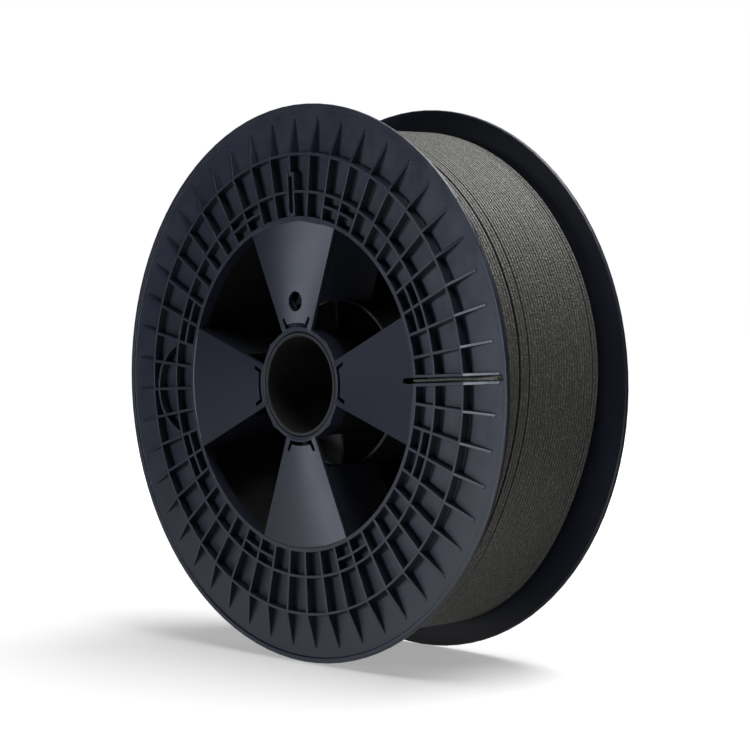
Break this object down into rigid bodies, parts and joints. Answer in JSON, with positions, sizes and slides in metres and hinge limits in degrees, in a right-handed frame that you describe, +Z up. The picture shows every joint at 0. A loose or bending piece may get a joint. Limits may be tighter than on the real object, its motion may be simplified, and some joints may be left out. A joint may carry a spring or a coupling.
{
  "type": "filament spool",
  "caption": "Large open-hub filament spool with two ribbed flanges on a central barrel, wound with dark carbon-filled filament.",
  "frame": {"origin": "centre of the spindle bore, half way between the two flanges", "axes": "+Y along the spool's axis from the front flange to the rear flange, +X to the right seen from the front, +Z up; the spool stands on its rims, rolled 3.3 degrees anticlockwise from having a spoke upright"},
  "size_m": [0.3, 0.1008, 0.3],
  "materials": {
    "flange_plastic": "satin moulded charcoal polystyrene",
    "core_plastic": "satin moulded charcoal polystyrene",
    "filament": "matte speckled dark olive grey"
  },
  "bodies": {
    "root": {"front_flange": "flange_plastic", "rear_flange": "flange_plastic", "winding_barrel": "core_plastic", "hub_tube": "core_plastic", "filament_coil": "filament", "filament_start": "filament"}
  },
  "joints": []
}
